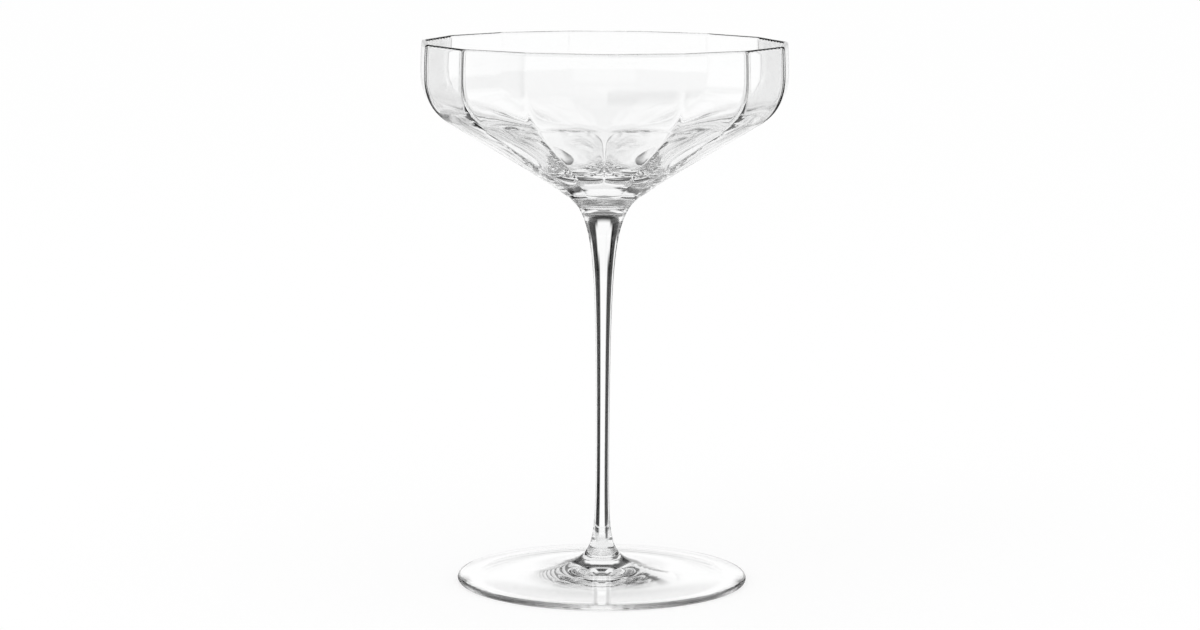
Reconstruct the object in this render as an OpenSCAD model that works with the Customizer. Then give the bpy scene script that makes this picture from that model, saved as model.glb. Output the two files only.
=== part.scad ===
// Coupe glass with a softly panelled bowl on a drawn stem and a round foot.
// The origin is the middle of the foot's underside, where the glass stands, and +Z is up.

/* [Overall] */
// Height of the whole glass
glass_h = 165; // [150:1:185]
// Width of the circle through the rim's creases
rim_d = 111.6; // [96:0.2:124]
// Width of the foot
foot_d = 88.6; // [76:0.2:98]

/* [Bowl wall] */
// Thickness of the upright wall
wall_t = 1.5; // [1.1:0.1:2.1]
// Depth of the upright wall, from the rim to where the shoulder begins to turn in
wall_h = 9.6; // [7:0.2:14]
// How far the wall stands out below the rim
wall_belly = 0.3; // [0:0.1:1]
// Depth from the start of the shoulder to the corner that its curve rounds off
shoulder_h = 9.4; // [7:0.2:12]
// Length of the cone that the shoulder's curve takes up
shoulder_run = 8.7; // [6:0.1:11]

/* [Bowl cone] */
// Slope of the cone below the shoulder, in degrees above level
cone_angle = 31; // [28:0.5:35]
// Thickness of the cone
cone_t = 1.7; // [1.3:0.1:2.3]
// Radius at which the line of the cone would meet the line of the neck
gather_r = 9.9; // [9:0.1:11]
// Length of the cone that sweeps into the neck
neck_sweep = 19.7; // [12:0.1:24]
// Depth of glass between the floor of the cup and the seam with the stem
floor_t = 10; // [6:0.2:12]
// Length of the cone that rounds into the floor of the cup
floor_sweep = 18; // [10:0.5:20]

/* [Bowl panels] */
// Number of panels round the bowl
panel_count = 15; // [12:1:18]
// How flat the panels are on the upright wall: 0 leaves it round and 1 makes them flat
wall_flat_share = 1; // [0:0.05:1]
// Swell of the cone's panels on the outside, as a share of the depth that a flat panel would take away
outer_swell_share = 1; // [0:0.05:1.5]
// Swell of the cone's panels into the cup, as a share of the same depth, where 1 is flat
inner_swell_share = 2.3; // [0:0.05:2.6]
// How crisp the creases between the panels are
crease_crispness = 260; // [100:20:300]
// Radius on the cone at which the panels have their full swell, before they flatten towards the wall
swell_full_r = 29; // [26:0.5:48]
// Radius within which the panels have faded into the round neck
fade_in_r = 9; // [8.5:0.1:11]
// Radius at which the panels have their full depth
fade_out_r = 19; // [16:0.5:26]

/* [Stem] */
// Radius of the stem's straight core
stem_core_r = 1.7; // [1.4:0.1:2.4]
// How much the stem swells up to the seam with the bowl
neck_swell = 6.15; // [5.2:0.05:6.6]
// Length over which the neck swells
neck_run = 19.5; // [15:0.5:24]
// How much the stem spreads out down to the top of the foot
toe_spread = 12.3; // [9:0.1:14]
// Length over which the toe spreads
toe_run = 7.9; // [6:0.1:9]

/* [Foot] */
// Height of the foot where the stem's toe has spread out on it
toe_h = 4.3; // [3.8:0.1:5.2]
// Height of the raised boss on the foot that carries the stem
boss_h = 8; // [6.5:0.1:10]
// Thickness of the foot's edge
edge_t = 1.8; // [1.4:0.1:2.4]
// Height at which the foot's top levels off between the toe and the edge
level_h = 2.5; // [2.2:0.1:3.2]
// Width of the flat ring that the glass stands on
rest_w = 4.6; // [3:0.2:8]
// Depth of the hollow under the foot
hollow_h = 1.9; // [0.4:0.1:2.1]

/* [Hidden] */
$fn = 96;

rim_r = rim_d / 2;
lip_r = wall_t / 2;
wall_r = rim_r + wall_belly;
shoulder_z = glass_h - wall_h;
corner_z = shoulder_z - shoulder_h;
cone_dir = [cos(cone_angle), sin(cone_angle)];

// The line of the neck meets the line of the cone at this corner, and the seam lies on the line of the neck.
gather_z = corner_z - (wall_r - gather_r) * tan(cone_angle);
neck_r = stem_core_r + neck_swell;
neck_z = gather_z - (gather_r - neck_r) * neck_run / (2 * neck_swell);

// The inner surface keeps its distance from the outer one: the wall's thickness above, and the cone's below.
inner_wall_r = wall_r - wall_t;
inner_corner_z = corner_z - wall_t * tan(cone_angle) + cone_t / cos(cone_angle);
inner_shoulder_run = shoulder_run - wall_t * tan((90 - cone_angle) / 2);
floor_z = neck_z + floor_t;
floor_r = inner_wall_r - (inner_corner_z - floor_z) / tan(cone_angle);

panel_angle = 360 / panel_count;
// Places of the points across one panel, close together at the creases
panel_shares = [0, 0.035, 0.11, 0.28, 0.5, 0.72, 0.89, 0.965];

// Numbers of steps along the curves
sweep_steps = 7;
shoulder_steps = 7;
wall_steps = 3;
lip_steps = 6;
stem_steps = 64;
flare_steps = 12;
plate_steps = 10;
edge_steps = 8;
hollow_steps = 10;

// The place of a share t of the way along the bend from a to c that b pulls on
function bend(a, b, c, t) = (1 - t) * (1 - t) * a + 2 * t * (1 - t) * b + t * t * c;

// The points of that bend, without its first one
function bend_points(a, b, c, steps) = [for (i = [1 : steps]) bend(a, b, c, i / steps)];

// Rises smoothly from 0 to 1 as x goes from 0 to 1
function ease(x) =
    let (s = min(1, max(0, x)))
    s * s * (3 - 2 * s);

// Radius of the stem at a height, with its swell up to the neck and its spread down to the foot
function stem_r(z) =
    stem_core_r
    + neck_swell / pow(1 + (neck_z - z) / neck_run, 2)
    + toe_spread / pow(1 + (z - toe_h) / toe_run, 3);

// Reach of the panelled section at an angle, where a sharp crease would reach 1 / cos(panel_angle / 2)
function panel_reach(a) =
    let (from_middle = abs(a - panel_angle / 2))
    pow(pow(cos(from_middle), crease_crispness)
        + pow(cos(panel_angle - from_middle), crease_crispness), -1 / crease_crispness);

// Share of the crease's radius that the wall has at an angle measured from the crease
function section_share(a) = panel_reach(a) / panel_reach(0);

// That share in the middle of a panel
middle_share = section_share(panel_angle / 2);

// Angles round the bowl, with a crease to the front
bowl_angles = [for (k = [0 : panel_count - 1], s = panel_shares) (k + s) * panel_angle];
bowl_sections = [for (k = [0 : panel_count - 1], s = panel_shares) section_share(s * panel_angle)];

// Outline of the bowl's outside, from the seam to the top of the lip
function outer_outline() =
    let (
        seam = [stem_r(neck_z), neck_z],
        gather = [gather_r, gather_z],
        sweep_end = gather + neck_sweep * cone_dir,
        corner = [wall_r, corner_z],
        shoulder_end = corner - shoulder_run * cone_dir,
        shoulder_top = [wall_r, shoulder_z],
        lip_low = [rim_r, glass_h - lip_r],
        lip_middle = [rim_r - lip_r, glass_h - lip_r],
        cone_middle = (sweep_end + shoulder_end) / 2
    )
    concat(
        [seam],
        bend_points(seam, gather, sweep_end, sweep_steps),
        [cone_middle],
        [shoulder_end],
        bend_points(shoulder_end, corner, shoulder_top, shoulder_steps),
        bend_points(shoulder_top, [wall_r, (shoulder_z + lip_low.y) / 2], lip_low, wall_steps),
        [for (i = [1 : lip_steps / 2])
            lip_middle + lip_r * [cos(180 * i / lip_steps), sin(180 * i / lip_steps)]]
    );

// Outline of the bowl's inside, from the top of the lip to the edge of the floor's last face
function inner_outline() =
    let (
        lip_middle = [rim_r - lip_r, glass_h - lip_r],
        inner_low = [rim_r - wall_t, glass_h - lip_r],
        inner_top = [inner_wall_r, shoulder_z],
        inner_corner = [inner_wall_r, inner_corner_z],
        inner_end = inner_corner - inner_shoulder_run * cone_dir,
        floor_corner = [floor_r, floor_z],
        floor_start = floor_corner + floor_sweep * cone_dir,
        floor_middle = [0, floor_z],
        inner_middle = (inner_end + floor_start) / 2
    )
    concat(
        [for (i = [lip_steps / 2 + 1 : lip_steps - 1])
            lip_middle + lip_r * [cos(180 * i / lip_steps), sin(180 * i / lip_steps)]],
        [inner_low],
        bend_points(inner_low, [inner_wall_r, (shoulder_z + inner_low.y) / 2], inner_top, wall_steps),
        bend_points(inner_top, inner_corner, inner_end, shoulder_steps),
        [inner_middle],
        [floor_start],
        [for (i = [1 : sweep_steps - 1]) bend(floor_start, floor_corner, floor_middle, i / sweep_steps)]
    );

// Flatness of the panels: none in the neck, then the cone's own, and from the shoulder up the wall's
function panel_flatness(p, cone_flatness, wall_at_r) =
    let (wall_share = p.y > shoulder_z ? 1 : ease((p.x - swell_full_r) / (wall_at_r - swell_full_r)))
    ease((p.x - fade_in_r) / (fade_out_r - fade_in_r))
    * (cone_flatness + (wall_flat_share - cone_flatness) * wall_share);

// One ring of the bowl: the outline's point carried round, with the outside's widest place at the outline's radius
function bowl_ring(p, flatness) =
    let (
        outer_flatness = panel_flatness(p, -outer_swell_share, wall_r),
        widest = max(1, 1 + outer_flatness * (middle_share - 1))
    )
    [for (i = [0 : len(bowl_angles) - 1])
        let (r = p.x * (1 + flatness * (bowl_sections[i] - 1)) / widest)
        [r * sin(bowl_angles[i]), -r * cos(bowl_angles[i]), p.y]];

module bowl() {
    bowl_rings = concat(
        [for (p = outer_outline()) bowl_ring(p, panel_flatness(p, -outer_swell_share, wall_r))],
        [for (p = inner_outline()) bowl_ring(p, panel_flatness(p, inner_swell_share, inner_wall_r))]
    );
    rings = len(bowl_rings);
    turn = len(bowl_angles);
    points = concat(
        [for (r = bowl_rings) each r],
        [[0, 0, neck_z], [0, 0, floor_z]]
    );
    seam_middle = rings * turn;
    floor_middle = seam_middle + 1;
    walls = [for (k = [0 : rings - 2], i = [0 : turn - 1])
        let (
            j = (i + 1) % turn,
            a = k * turn + i,
            b = k * turn + j,
            c = a + turn,
            d = b + turn
        )
        each [[a, c, b], [b, c, d]]];
    seam_faces = [for (i = [0 : turn - 1]) [seam_middle, i, (i + 1) % turn]];
    last = (rings - 1) * turn;
    floor_faces = [for (i = [0 : turn - 1]) [floor_middle, last + (i + 1) % turn, last + i]];
    color([0.90, 0.94, 0.95, 0.6])
        polyhedron(points, concat(walls, seam_faces, floor_faces));
}

module stem() {
    side = [for (i = [0 : stem_steps])
        let (z = boss_h + (neck_z - boss_h) * ease(i / stem_steps))
        [stem_r(z), z]];
    color([0.82, 0.87, 0.88, 0.7])
        rotate_extrude()
            polygon(concat([[0, boss_h]], side, [[0, neck_z]]));
}

// Outline of the foot from the boss, out along the top, round the edge and in along the underside
function foot_outline() =
    let (
        foot_r = foot_d / 2,
        edge_r = edge_t / 2,
        toe = [stem_r(toe_h), toe_h],
        toe_pull = (toe_h - level_h) * 3 * toe_spread / toe_run,
        edge_middle = [foot_r - edge_r, edge_r],
        edge_top = [foot_r - edge_r, edge_t],
        rest_r = foot_r - edge_r - rest_w
    )
    concat(
        [for (i = [0 : flare_steps])
            let (z = boss_h + (toe_h - boss_h) * i / flare_steps)
            [stem_r(z), z]],
        bend_points(toe, [toe.x + toe_pull, level_h], edge_top, plate_steps),
        [for (i = [1 : edge_steps]) edge_middle + edge_r * [sin(180 * i / edge_steps), cos(180 * i / edge_steps)]],
        [for (i = [0 : hollow_steps - 1])
            let (s = 1 - i / hollow_steps)
            [rest_r * s, hollow_h * (1 - s * s)]]
    );

module foot() {
    color([0.90, 0.94, 0.95, 0.6])
        rotate_extrude()
            polygon(concat([[0, boss_h]], foot_outline(), [[0, hollow_h]]));
}

bowl();
stem();
foot();
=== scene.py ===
# %% [markdown]
# # A coupe glass, lit the way glass is photographed
#
# The object is a clear coupe: a wide bowl in fifteen optic panels, a slim drawn stem and a thin spun foot.
# Glass has no colour of its own to paint. What the eye reads as glass is the surroundings, bent by its
# surfaces, so this lesson spends its effort on three things: true surfaces, a glass that bends light as the
# real one does, and a studio that gives the glass something white and something dark to show. The packed
# model comes first, as a fixed frame that nothing here moves.

# %% Load the fixed frame
import math

import bpy
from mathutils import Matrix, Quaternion, Vector


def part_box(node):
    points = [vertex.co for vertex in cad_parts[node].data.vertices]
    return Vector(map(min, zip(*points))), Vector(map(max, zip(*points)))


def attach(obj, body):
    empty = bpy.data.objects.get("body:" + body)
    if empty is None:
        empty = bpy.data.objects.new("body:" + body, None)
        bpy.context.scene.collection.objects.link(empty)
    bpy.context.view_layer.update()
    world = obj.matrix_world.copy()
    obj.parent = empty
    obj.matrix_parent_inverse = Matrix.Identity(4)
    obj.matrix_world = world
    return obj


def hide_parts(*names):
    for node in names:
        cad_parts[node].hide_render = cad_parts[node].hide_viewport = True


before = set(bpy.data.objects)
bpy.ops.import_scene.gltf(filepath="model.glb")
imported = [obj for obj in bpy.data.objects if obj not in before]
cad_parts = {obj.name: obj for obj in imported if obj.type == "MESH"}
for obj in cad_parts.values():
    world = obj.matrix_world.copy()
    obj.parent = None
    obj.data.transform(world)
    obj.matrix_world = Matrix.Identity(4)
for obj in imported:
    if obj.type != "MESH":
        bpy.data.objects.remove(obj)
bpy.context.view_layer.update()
print("nodes:", sorted(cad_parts))

# %% [markdown]
# ## Sizes
#
# The seams and the overall reach are read from the frame, so the dressed pieces start and end where the
# solids do. The outline between them is a few named sizes, the same that a glassmaker's drawing would give,
# in metres.

# %% Sizes of the glass
MM = 0.001
bowl_low, bowl_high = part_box("bowl")
stem_low, stem_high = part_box("stem")
foot_low, foot_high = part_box("foot")

GLASS_H = bowl_high[2]
NECK_Z = stem_high[2]
BOSS_Z = foot_high[2]
FOOT_R = foot_high[0]

WALL_BELLY = 0.3 * MM
INSIDE = 0.01 * MM
RIM_R = -bowl_low[1] - WALL_BELLY - INSIDE
WALL_T = 1.5 * MM
WALL_H = 9.6 * MM
SHOULDER_H = 9.4 * MM
SHOULDER_RUN = 8.7 * MM

CONE_ANGLE = math.radians(31)
CONE_T = 1.7 * MM
GATHER_R = 9.9 * MM
NECK_SWEEP = 19.7 * MM
FLOOR_T = 10 * MM
FLOOR_SWEEP = 18 * MM

PANELS = 15
PANEL_ANGLE = 2 * math.pi / PANELS
WALL_FLATNESS = 1.0
OUTER_SWELL = 1.0
INNER_SWELL = 2.3
SWELL_FULL_R = 29 * MM
CREASE_CRISPNESS = 260
FADE_IN_R = 9 * MM
FADE_OUT_R = 19 * MM

STEM_CORE_R = 1.7 * MM
NECK_SWELL = 6.15 * MM
NECK_RUN = 19.5 * MM
TOE_SPREAD = 12.3 * MM
TOE_RUN = 7.9 * MM

TOE_Z = 4.3 * MM
EDGE_T = 1.8 * MM
LEVEL_Z = 2.5 * MM
REST_W = 4.6 * MM
HOLLOW_H = 1.9 * MM
print(f"height {GLASS_H / MM:.1f} mm, rim {2 * RIM_R / MM:.1f} mm, foot {2 * FOOT_R / MM:.1f} mm")
print(f"seams at {BOSS_Z / MM:.2f} mm and {NECK_Z / MM:.2f} mm")

# %% [markdown]
# ## Curves of the outline
#
# A glass outline is a chain of soft bends. Each bend here is a curve pulled towards one corner point, which
# keeps the tangent at both ends, so neighbouring stretches meet without a kink. A kink of even a degree
# would show in glass as a bright or dark ring. The stem uses a formula, because a drawn stem thins out in
# one sweep.

# %% Bends and the stem's sweep
def bend(a, b, c, steps):
    """Points from a to c on the curve that b pulls on, without a itself."""
    points = []
    for i in range(1, steps + 1):
        t = i / steps
        points.append((1 - t) ** 2 * a + 2 * t * (1 - t) * b + t * t * c)
    return points


def line(a, b, steps):
    """Points from a to b in equal steps, without a itself."""
    return [a.lerp(b, i / steps) for i in range(1, steps + 1)]


def ease(x):
    """Rises smoothly from 0 to 1 as x goes from 0 to 1."""
    s = min(1.0, max(0.0, x))
    return s * s * (3 - 2 * s)


def stem_radius(z):
    """Radius of the stem at a height, with its swell up to the neck and its spread down to the foot."""
    swell = NECK_SWELL / (1 + (NECK_Z - z) / NECK_RUN) ** 2
    spread = TOE_SPREAD / (1 + (z - TOE_Z) / TOE_RUN) ** 3
    return STEM_CORE_R + swell + spread


print(f"stem at its slimmest: {2 * min(stem_radius(NECK_Z * i / 200) for i in range(10, 200)) / MM:.2f} mm")

# %% [markdown]
# ## The panelled section
#
# Optic panels are pressed into the gather by a ribbed mould and stay as flats with soft creases. A section
# that is the sharp polygon's reach, softened by a high power, gives flats whose creases have a small true
# radius. The creases are where the refraction changes at once, so the points crowd together there. On the
# wall the panels stay flat. On the cone the glass is fuller in the middle of each panel, outside and
# inside, so there each panel is a lens, and the lenses make the dark, leaning bands that the photograph
# shows.

# %% Panels of the bowl
def panel_reach(angle):
    """Reach of the section at an angle from a crease, in units of the reach at a panel's middle."""
    middle = abs(angle - PANEL_ANGLE / 2)
    near = math.cos(middle) ** CREASE_CRISPNESS
    far = math.cos(PANEL_ANGLE - middle) ** CREASE_CRISPNESS
    return (near + far) ** (-1 / CREASE_CRISPNESS)


CREASE_SHARES = [0, 0.007, 0.015, 0.024, 0.034, 0.046, 0.062, 0.085, 0.13, 0.2, 0.3, 0.4]
PANEL_SHARES = CREASE_SHARES + [0.5] + [1 - s for s in reversed(CREASE_SHARES[1:])]
SECTION = []
for panel in range(PANELS):
    for share in PANEL_SHARES:
        reach = panel_reach(share * PANEL_ANGLE) / panel_reach(0)
        SECTION.append(((panel + share) * PANEL_ANGLE, reach))
PANEL_MIDDLE = panel_reach(PANEL_ANGLE / 2) / panel_reach(0)
deepest = 1 - min(reach for _, reach in SECTION)
print(f"{len(SECTION)} points round the bowl, panels {100 * deepest:.1f}% inside the creases")

# %% [markdown]
# ## One way to make every piece
#
# Each piece is a stack of rings about the same axis, so one small function joins rings into a closed mesh.
# The end caps get a second material: where two pieces of glass are fused there is no surface to bend light,
# so the seam has to let light straight through.

# %% Rings into a closed mesh
def ring(radius, z, section, flatness=0.0):
    """One ring of points, as far out as the section says where flatness is 1 and round where it is 0."""
    points = []
    for angle, reach in section:
        r = radius * (1 + flatness * (reach - 1))
        points.append((r * math.sin(angle), -r * math.cos(angle), z))
    return points


def round_section(count):
    """A plain round section with so many points."""
    return [(2 * math.pi * i / count, 1.0) for i in range(count)]


def closed_piece(name, rings, start_tip, end_tip, seam_start, seam_end):
    """Joins rings into a closed mesh between two tips on the axis. Seam caps get material 1."""
    turn = len(rings[0])
    points = [p for r in rings for p in r] + [start_tip, end_tip]
    first_tip = len(rings) * turn
    faces, kinds = [], []
    for k in range(len(rings) - 1):
        for i in range(turn):
            j = (i + 1) % turn
            faces.append((k * turn + i, k * turn + j, (k + 1) * turn + j, (k + 1) * turn + i))
            kinds.append(0)
    last = (len(rings) - 1) * turn
    for i in range(turn):
        j = (i + 1) % turn
        faces.append((first_tip, j, i))
        kinds.append(1 if seam_start else 0)
        faces.append((first_tip + 1, last + i, last + j))
        kinds.append(1 if seam_end else 0)
    mesh = bpy.data.meshes.new(name)
    mesh.from_pydata(points, [], faces)
    mesh.polygons.foreach_set("material_index", kinds)
    mesh.polygons.foreach_set("use_smooth", [kind == 0 for kind in kinds])
    mesh.update()
    piece = bpy.data.objects.new(name, mesh)
    bpy.context.scene.collection.objects.link(piece)
    print(f"{name}: {len(points)} points, {len(faces)} faces")
    return piece

# %% [markdown]
# ## The bowl
#
# The outline runs from the seam up the neck and the cone, round the shoulder, up the wall, over the
# fire-polished lip and down the inside to the floor. The inside is its own outline, set in by the wall's
# thickness, because the eye reads a glass wall by the two edges it shows.

# %% Bowl
BEND_STEPS = 30
FLOOR_STEPS = 24
BELLY_STEPS = 10
LIP_STEPS = 10
OUTER_CONE_STEPS = 8
INNER_CONE_STEPS = 10
LIP_R = WALL_T / 2
WALL_R = RIM_R + WALL_BELLY
SHOULDER_Z = GLASS_H - WALL_H
CORNER_Z = SHOULDER_Z - SHOULDER_H
CONE_DIR = Vector((math.cos(CONE_ANGLE), math.sin(CONE_ANGLE)))
NECK_SLOPE = NECK_RUN / (2 * NECK_SWELL)


def outer_bowl():
    """The outside, from the seam to the lip."""
    seam = Vector((stem_radius(NECK_Z), NECK_Z))
    gather = Vector((GATHER_R, NECK_Z + (GATHER_R - STEM_CORE_R - NECK_SWELL) * NECK_SLOPE))
    sweep_end = gather + NECK_SWEEP * CONE_DIR
    corner = Vector((WALL_R, CORNER_Z))
    shoulder_end = corner - SHOULDER_RUN * CONE_DIR
    shoulder_top = Vector((WALL_R, SHOULDER_Z))
    lip_low = Vector((RIM_R, GLASS_H - LIP_R))
    pull = Vector((WALL_R, (SHOULDER_Z + lip_low.y) / 2))
    points = [seam] + bend(seam, gather, sweep_end, BEND_STEPS)
    points += line(sweep_end, shoulder_end, OUTER_CONE_STEPS)
    points += bend(shoulder_end, corner, shoulder_top, BEND_STEPS)
    return points + bend(shoulder_top, pull, lip_low, BELLY_STEPS)


def inner_bowl():
    """The inside, from the lip to just short of the middle of the floor."""
    inner_r = WALL_R - WALL_T
    inner_corner_z = CORNER_Z - WALL_T * math.tan(CONE_ANGLE) + CONE_T / math.cos(CONE_ANGLE)
    inner_run = SHOULDER_RUN - WALL_T * math.tan((math.pi / 2 - CONE_ANGLE) / 2)
    floor_z = NECK_Z + FLOOR_T
    floor_r = inner_r - (inner_corner_z - floor_z) / math.tan(CONE_ANGLE)
    inner_low = Vector((RIM_R - WALL_T, GLASS_H - LIP_R))
    inner_top = Vector((inner_r, SHOULDER_Z))
    corner = Vector((inner_r, inner_corner_z))
    cone_top = corner - inner_run * CONE_DIR
    floor_corner = Vector((floor_r, floor_z))
    floor_start = floor_corner + FLOOR_SWEEP * CONE_DIR
    pull = Vector((inner_r, (SHOULDER_Z + inner_low.y) / 2))
    points = bend(inner_low, pull, inner_top, BELLY_STEPS)
    points += bend(inner_top, corner, cone_top, BEND_STEPS)
    points += line(cone_top, floor_start, INNER_CONE_STEPS)
    return points + bend(floor_start, floor_corner, Vector((0, floor_z)), FLOOR_STEPS)[:-1]


def lip():
    """Half a circle over the rim, between the two walls."""
    middle = Vector((RIM_R - LIP_R, GLASS_H - LIP_R))
    angles = [math.pi * i / LIP_STEPS for i in range(1, LIP_STEPS + 1)]
    return [middle + LIP_R * Vector((math.cos(a), math.sin(a))) for a in angles]


def panel_flatness(p, cone_flatness, wall_at_r):
    """None in the neck, then the cone's own, and from the shoulder up the wall's."""
    wall_share = 1.0 if p.y > SHOULDER_Z else ease((p.x - SWELL_FULL_R) / (wall_at_r - SWELL_FULL_R))
    depth = ease((p.x - FADE_IN_R) / (FADE_OUT_R - FADE_IN_R))
    return depth * (cone_flatness + (WALL_FLATNESS - cone_flatness) * wall_share)


def bowl_ring(p, flatness):
    """One ring, with the outside's widest place at the outline's radius."""
    outer_flatness = panel_flatness(p, -OUTER_SWELL, WALL_R)
    widest = max(1.0, 1 + outer_flatness * (PANEL_MIDDLE - 1))
    return ring(p.x / widest, p.y, SECTION, flatness)


bowl_rings = [bowl_ring(p, panel_flatness(p, -OUTER_SWELL, WALL_R)) for p in outer_bowl() + lip()]
bowl_rings += [bowl_ring(p, panel_flatness(p, INNER_SWELL, WALL_R - WALL_T)) for p in inner_bowl()]
bowl_piece = closed_piece(
    "bowl_blown", bowl_rings, (0, 0, NECK_Z), (0, 0, NECK_Z + FLOOR_T), seam_start=True, seam_end=False
)

# %% [markdown]
# ## The stem
#
# A solid rod acts as a strong lens, so its roundness matters more than its length: many points go round it,
# and its rings crowd together where the radius changes fastest, at the neck and at the toe.

# %% Stem
STEM_STEPS = 160
STEM_SIDES = 128
STEM_ROUND = round_section(STEM_SIDES)
stem_rings = []
for i in range(STEM_STEPS + 1):
    z = BOSS_Z + (NECK_Z - BOSS_Z) * ease(i / STEM_STEPS)
    stem_rings.append(ring(stem_radius(z), z, STEM_ROUND))
stem_piece = closed_piece(
    "stem_drawn", stem_rings, (0, 0, BOSS_Z), (0, 0, NECK_Z), seam_start=True, seam_end=True
)

# %% [markdown]
# ## The foot
#
# The foot is spun out flat while hot. It has the boss that carries the stem, a top that levels off, a
# rounded edge, a flat ring to stand on and a shallow hollow inside it.

# %% Foot
FOOT_SIDES = 256
BOSS_STEPS = 30
TOP_STEPS = 40
EDGE_STEPS = 12
HOLLOW_STEPS = 24


def foot_outline():
    """From the boss out along the top, round the edge and in along the underside."""
    edge_r = EDGE_T / 2
    toe = Vector((stem_radius(TOE_Z), TOE_Z))
    toe_pull = (TOE_Z - LEVEL_Z) * 3 * TOE_SPREAD / TOE_RUN
    edge_middle = Vector((FOOT_R - edge_r, edge_r))
    edge_top = Vector((FOOT_R - edge_r, EDGE_T))
    rest_r = FOOT_R - edge_r - REST_W
    points = []
    for i in range(BOSS_STEPS + 1):
        z = BOSS_Z + (TOE_Z - BOSS_Z) * i / BOSS_STEPS
        points.append(Vector((stem_radius(z), z)))
    points += bend(toe, Vector((toe.x + toe_pull, LEVEL_Z)), edge_top, TOP_STEPS)
    for i in range(1, EDGE_STEPS + 1):
        a = math.pi * i / EDGE_STEPS
        points.append(edge_middle + edge_r * Vector((math.sin(a), math.cos(a))))
    for i in range(HOLLOW_STEPS):
        s = 1 - i / HOLLOW_STEPS
        points.append(Vector((rest_r * s, HOLLOW_H * (1 - s * s))))
    return points


FOOT_ROUND = round_section(FOOT_SIDES)
foot_rings = [ring(p.x, p.y, FOOT_ROUND) for p in reversed(foot_outline())]
foot_piece = closed_piece(
    "foot_spun", foot_rings, (0, 0, HOLLOW_H), (0, 0, BOSS_Z), seam_start=False, seam_end=True
)

# %% [markdown]
# ## Shader maths as plain expressions
#
# A node tree is arithmetic drawn as boxes. One small class wraps an output socket, so `1 - mask` or `a * b
# + c` in Python adds the Math nodes. Every other node comes from one method that takes its type, its
# settings and the values or links of its sockets.

# %% Sockets with operators
class Flow:
    """An output socket. Arithmetic on it adds Math nodes to its tree."""

    def __init__(self, recipe, socket):
        self.recipe = recipe
        self.socket = socket

    def math(self, operation, *terms):
        return self.recipe.add("ShaderNodeMath", {"operation": operation}, dict(enumerate(terms)))

    def __add__(self, other):
        return self.math("ADD", self, other)

    def __radd__(self, other):
        return self.math("ADD", other, self)

    def __sub__(self, other):
        return self.math("SUBTRACT", self, other)

    def __rsub__(self, other):
        return self.math("SUBTRACT", other, self)

    def __mul__(self, other):
        return self.math("MULTIPLY", self, other)

    def __rmul__(self, other):
        return self.math("MULTIPLY", other, self)


class Recipe:
    """A node tree under construction."""

    def __init__(self, tree):
        self.tree = tree
        self.tree.nodes.clear()

    def node(self, kind, settings=None, sockets=None):
        """Adds one node: its settings first, then its sockets' values or links."""
        node = self.tree.nodes.new(kind)
        for key, value in (settings or {}).items():
            setattr(node, key, value)
        for key, value in (sockets or {}).items():
            if isinstance(value, Flow):
                self.tree.links.new(value.socket, node.inputs[key])
            else:
                node.inputs[key].default_value = value
        return node

    def add(self, kind, settings=None, sockets=None, output=0):
        """Adds one node and gives one of its outputs."""
        node = self.node(kind, settings, sockets)
        return Flow(self, node.outputs[output]) if node.outputs else None

    def outputs(self, kind, sockets=None):
        """Adds one node and gives all its outputs by name."""
        return {name: Flow(self, socket) for name, socket in self.node(kind, {}, sockets).outputs.items()}

    def ramp(self, value, low, high, from_value=0.0, to_value=1.0):
        """Goes smoothly from one value to another as the input passes from low to high."""
        return self.add(
            "ShaderNodeMapRange",
            {"interpolation_type": "SMOOTHSTEP"},
            {0: value, 1: low, 2: high, 3: from_value, 4: to_value},
        )

    def mix_colour(self, share, first, second):
        """A colour between two colours."""
        return self.add(
            "ShaderNodeMix", {"data_type": "RGBA"}, {"Factor": share, 6: first, 7: second}, output=2
        )


print("shader helpers ready")

# %% [markdown]
# ## The glass
#
# Clear crystal bends light by an index of about 1.52 and is very slightly cool in its thick places. A blown
# wall is never quite even: it keeps long, shallow waves from the gathering and the paddle. Those waves are
# far too shallow for geometry, so a bump carries them. Each piece has its own: broad slow waves in the
# blown bowl, long streaks along the drawn stem, and even, faint ones in the spun foot.

# %% Glass materials
CRYSTAL_IOR = 1.52


def glass(name, tint_thin, tint_thick, wave_scale, wave_depth, stretch):
    """Clear glass whose surface keeps shallow waves, stretched along the axes as the piece was worked."""
    material = bpy.data.materials.new(name)
    material.use_nodes = True
    recipe = Recipe(material.node_tree)
    place = recipe.add("ShaderNodeTexCoord", output="Object")
    stretched = recipe.add("ShaderNodeVectorMath", {"operation": "MULTIPLY"}, {0: place, 1: stretch})
    broad = recipe.add(
        "ShaderNodeTexNoise", {}, {"Vector": stretched, "Scale": wave_scale, "Detail": 2.0, "Roughness": 0.45}
    )
    fine = recipe.add(
        "ShaderNodeTexNoise",
        {},
        {"Vector": stretched, "Scale": wave_scale * 4.3, "Detail": 1.0, "Roughness": 0.4},
    )
    height = broad * 0.85 + fine * 0.15
    normal = recipe.add(
        "ShaderNodeBump", {}, {"Strength": 1.0, "Distance": wave_depth, "Height": height}
    )
    colour = recipe.mix_colour(recipe.ramp(broad, 0.35, 0.65), tint_thin, tint_thick)
    roughness = recipe.ramp(fine, 0.55, 0.75, 0.0, 0.012)
    surface = recipe.add(
        "ShaderNodeBsdfPrincipled",
        {},
        {
            "Base Color": colour,
            "Roughness": roughness,
            "IOR": CRYSTAL_IOR,
            "Transmission Weight": 1.0,
            "Normal": normal,
        },
    )
    recipe.add("ShaderNodeOutputMaterial", {}, {"Surface": surface})
    return material


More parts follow.
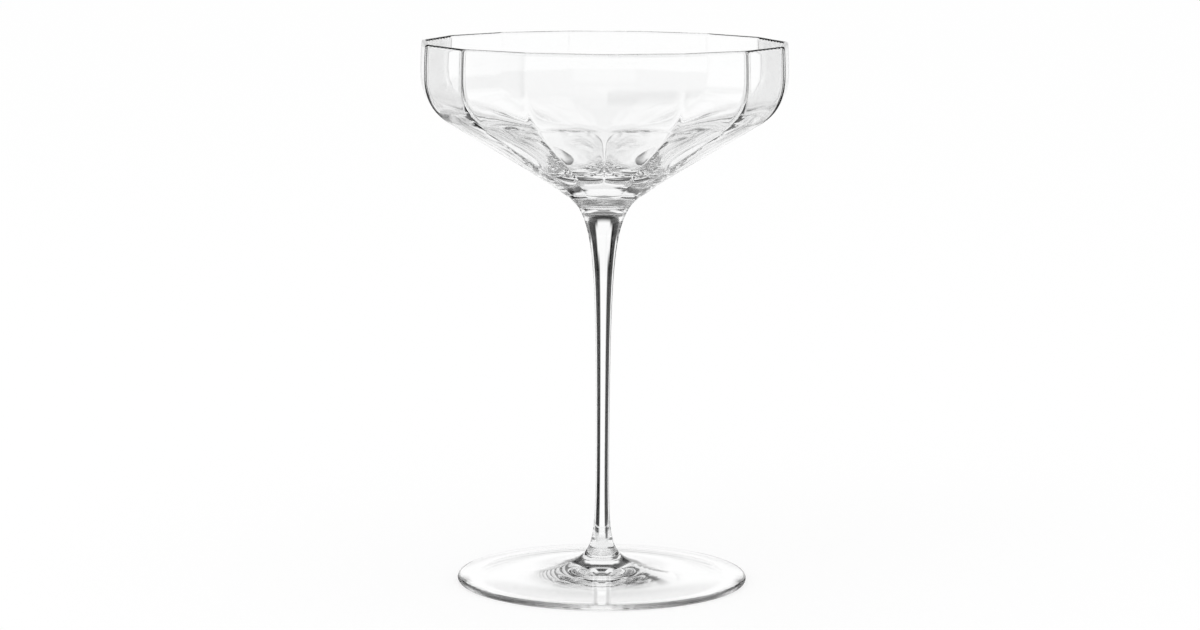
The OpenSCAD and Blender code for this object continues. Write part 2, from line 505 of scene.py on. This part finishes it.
def seam():
    """The fused face between two pieces: no surface is left there, so light passes straight through."""
    material = bpy.data.materials.new("fused_seam")
    material.use_nodes = True
    recipe = Recipe(material.node_tree)
    surface = recipe.add("ShaderNodeBsdfPrincipled", {}, {"Alpha": 0.0, "Roughness": 1.0})
    recipe.add("ShaderNodeOutputMaterial", {}, {"Surface": surface})
    return material


fused_seam = seam()
THIN_TINT, THICK_TINT = (0.999, 1.0, 1.0, 1), (0.996, 0.998, 0.998, 1)
ROD_THIN_TINT, ROD_THICK_TINT = (0.997, 0.999, 0.999, 1), (0.99, 0.995, 0.995, 1)
BLOWN_WAVE, DRAWN_WAVE, SPUN_WAVE = 0.03 * MM, 0.01 * MM, 0.03 * MM
LONG_WAVES, STREAKS, EVEN_WAVES = (1, 1, 0.5), (1, 1, 0.08), (1, 1, 1)
bowl_finish = glass("blown_crystal", THIN_TINT, THICK_TINT, 70, BLOWN_WAVE, LONG_WAVES)
stem_finish = glass("drawn_crystal", ROD_THIN_TINT, ROD_THICK_TINT, 160, DRAWN_WAVE, STREAKS)
foot_finish = glass("spun_crystal", THIN_TINT, THICK_TINT, 60, SPUN_WAVE, EVEN_WAVES)

for piece, finish, node in (
    (bowl_piece, bowl_finish, "bowl"),
    (stem_piece, stem_finish, "stem"),
    (foot_piece, foot_finish, "foot"),
):
    piece.data.materials.append(finish)
    piece.data.materials.append(fused_seam)
    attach(piece, "root")
    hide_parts(node)
    print(piece.name, "rides on root with", finish.name)

# %% [markdown]
# ## The studio
#
# Glass on white is lit from behind: the background is one bright panel, and dark flags stand out of sight
# at its sides. Where a surface bends light a little, it still shows the white. Where it bends light a lot,
# as at the edges of the stem and in the creases, it shows a flag, and that dark line is what draws the
# glass. The ceiling is dim with a bright strip over the panel, and the floor is pale, so that the glass
# stays clear when it is seen from above. All of this is part of the surroundings, so it stays put when the
# camera goes round. Three smaller panels with flags of their own stand behind the glass as it is seen from
# the side, a corner and the back. From between them a flag can lie straight behind the glass, which then
# looks dark, as it would in a real studio. Where the cards hang was found by lighting the glass from one
# direction at a time, to see which directions the photograph needs bright and which dark. The cards are
# then set in round numbers.

# %% Surroundings
ROOM = 1.0
SOFT = 5.0
# What it is, then in degrees: its place round from straight behind the glass, half width, lowest and highest
# elevation. Last comes its brightness. A later card hangs in front of an earlier one.
CARDS = [
    ("dim ceiling", 0, 180, 10, 90, 0.2),
    ("pale floor", 0, 180, -90, -45, 0.9),
    ("strip over the panel", 0, 70, 30, 60, 1.0),
    ("floor behind the glass", 0, 45, -60, -20, 0.85),
    ("two flags, one piece behind the panel", 0, 45, -25, 35, 0.0),
    ("panel behind the glass", 0, 14, -35, 20, 1.0),
    ("wider middle of the panel", 0, 20, 0, 15, 1.0),
    ("gap in the strip", 0, 15, 40, 55, 0.05),
    ("dark ceiling behind the camera", 180, 60, 40, 55, 0.15),
    ("flags at the side", -90, 30, -20, 15, 0.1),
    ("panel at the side", -90, 17, -20, 30, 1.0),
    ("flags at the corner", -45, 28, -45, -20, 0.1),
    ("panel at the corner", -45, 15, -45, -20, 1.0),
    ("flags at the back", 135, 30, -35, -10, 0.1),
    ("panel at the back", 135, 17, -35, 0, 1.0),
]


def seen_in_glass(recipe):
    """1 for a ray that comes from glass, by reflection or straight through."""
    rays = recipe.outputs("ShaderNodeLightPath")
    return rays["Is Glossy Ray"].math("MAXIMUM", rays["Is Glossy Ray"], rays["Is Transmission Ray"])


def surroundings():
    """Bright panels against dark, seen only in the glass. The camera sees plain white."""
    world = bpy.data.worlds.new("studio")
    world.use_nodes = True
    bpy.context.scene.world = world
    recipe = Recipe(world.node_tree)
    direction = recipe.add("ShaderNodeTexCoord", output="Generated")
    parts = recipe.outputs("ShaderNodeSeparateXYZ", {0: direction})
    x, y, z = parts["X"], parts["Y"], parts["Z"]
    azimuth = x.math("ARCTAN2", x, y)
    elevation = z.math("ARCSINE", z) * (180 / math.pi)
    level = ROOM
    for _, centre, half, low, high, value in CARDS:
        turn = azimuth - math.radians(centre)
        away = turn.math("ARCCOSINE", turn.math("COSINE", turn)) * (180 / math.pi)
        card = (
            recipe.ramp(away, half - SOFT / 2, half + SOFT / 2, 1.0, 0.0)
            * recipe.ramp(elevation, low - SOFT / 2, low + SOFT / 2)
            * recipe.ramp(elevation, high - SOFT, high + SOFT, 1.0, 0.0)
        )
        level = level + card * (value - level)
    studio = recipe.add("ShaderNodeCombineColor", {}, {0: level, 1: level, 2: level})
    colour = recipe.mix_colour(seen_in_glass(recipe), (1, 1, 1, 1), studio)
    surface = recipe.add("ShaderNodeBackground", {}, {"Color": colour, "Strength": 1.0})
    recipe.add("ShaderNodeOutputWorld", {}, {"Surface": surface})
    print(f"{len(CARDS)} cards round the glass, {len(recipe.tree.nodes)} nodes")


surroundings()

# %% [markdown]
# ## Floor
#
# The floor is a plain pale sheet. Most of its light is its own white, so that it meets the background
# without a line, and the rest is real diffuse light, so that it keeps the soft shadow of the glass. The
# glass itself sees the studio's floor in the surroundings instead, so the sheet is clear for the rays that
# come from glass.

# %% Floor
FLOOR_HALF = 30.0
OWN_WHITE = 0.7


def floor():
    """A large pale sheet under the glass."""
    mesh = bpy.data.meshes.new("floor_sheet")
    corners = [(x * FLOOR_HALF, y * FLOOR_HALF, 0) for x, y in ((-1, -1), (1, -1), (1, 1), (-1, 1))]
    mesh.from_pydata(corners, [], [(0, 1, 2, 3)])
    sheet = bpy.data.objects.new("floor_sheet", mesh)
    bpy.context.scene.collection.objects.link(sheet)
    material = bpy.data.materials.new("pale_paper")
    material.use_nodes = True
    recipe = Recipe(material.node_tree)
    lit = recipe.add("ShaderNodeBsdfDiffuse", {}, {"Color": (0.98, 0.98, 0.98, 1)})
    glow = recipe.add("ShaderNodeEmission", {}, {"Color": (1, 1, 1, 1), "Strength": 1.0})
    paper = recipe.add("ShaderNodeMixShader", {}, {0: OWN_WHITE, 1: lit, 2: glow})
    clear = recipe.add("ShaderNodeBsdfTransparent")
    both = recipe.add("ShaderNodeMixShader", {}, {0: seen_in_glass(recipe), 1: paper, 2: clear})
    recipe.add("ShaderNodeOutputMaterial", {}, {"Surface": both})
    mesh.materials.append(material)
    return sheet


floor()
print(f"floor {2 * FLOOR_HALF:.0f} m wide, {OWN_WHITE:.0%} of it its own white")

# %% [markdown]
# One weak soft box gives the floor its shadow. It stays out of the reflections, where it would draw a white
# patch.

# %% Lamp
LAMP_SIZE = 0.8
LAMP_PLACE = Vector((-0.9, -0.8, 1.3))
LAMP_WATTS = 1.6
lamp_data = bpy.data.lights.new("soft_box", "AREA")
lamp_data.size = LAMP_SIZE
lamp_data.energy = LAMP_WATTS
lamp = bpy.data.objects.new("soft_box", lamp_data)
lamp.location = LAMP_PLACE
lamp.rotation_euler = (-LAMP_PLACE).to_track_quat("-Z", "Y").to_euler()
lamp.visible_glossy = False
lamp.visible_transmission = False
bpy.context.scene.collection.objects.link(lamp)
print("soft box at", tuple(LAMP_PLACE))

# %% [markdown]
# ## Camera
#
# The photograph looks slightly down from just over a metre away with a short telephoto lens. Distance and
# height come from the two ellipses: the rim is nearly edge on, and the foot is seen from 12 degrees above.

# %% Camera
CAMERA_DISTANCE = 1.038
CAMERA_HEIGHT = 0.2313
CAMERA_ASIDE = -0.001
PITCH = math.radians(8.187)
ROLL = math.radians(0.336)
LENS_MM = 103.4
SENSOR_MM = 36
camera_data = bpy.data.cameras.new("camera")
camera_data.lens = LENS_MM
camera_data.sensor_width = SENSOR_MM
camera = bpy.data.objects.new("camera", camera_data)
camera.location = (CAMERA_ASIDE, -CAMERA_DISTANCE, CAMERA_HEIGHT)
upright = Vector((0, math.cos(PITCH), -math.sin(PITCH))).to_track_quat("-Z", "Y")
camera.rotation_mode = "QUATERNION"
camera.rotation_quaternion = upright @ Quaternion((0, 0, 1), ROLL)
bpy.context.scene.collection.objects.link(camera)
bpy.context.scene.camera = camera
bpy.context.scene.view_settings.view_transform = "Standard"
print(f"camera {CAMERA_DISTANCE:.3f} m away, {CAMERA_HEIGHT:.3f} m up, {LENS_MM} mm lens")

# %% [markdown]
# Light that enters a thick panel or the neck may bounce inside many times before it gets out. With too few
# bounces those paths end in black, so the scene allows more of them than a room would need.

# %% Bounces inside the glass
BOUNCES = 32
light_paths = bpy.context.scene.cycles
light_paths.max_bounces = BOUNCES
light_paths.transmission_bounces = BOUNCES
light_paths.glossy_bounces = BOUNCES
light_paths.transparent_max_bounces = BOUNCES
print("bounces:", light_paths.max_bounces)
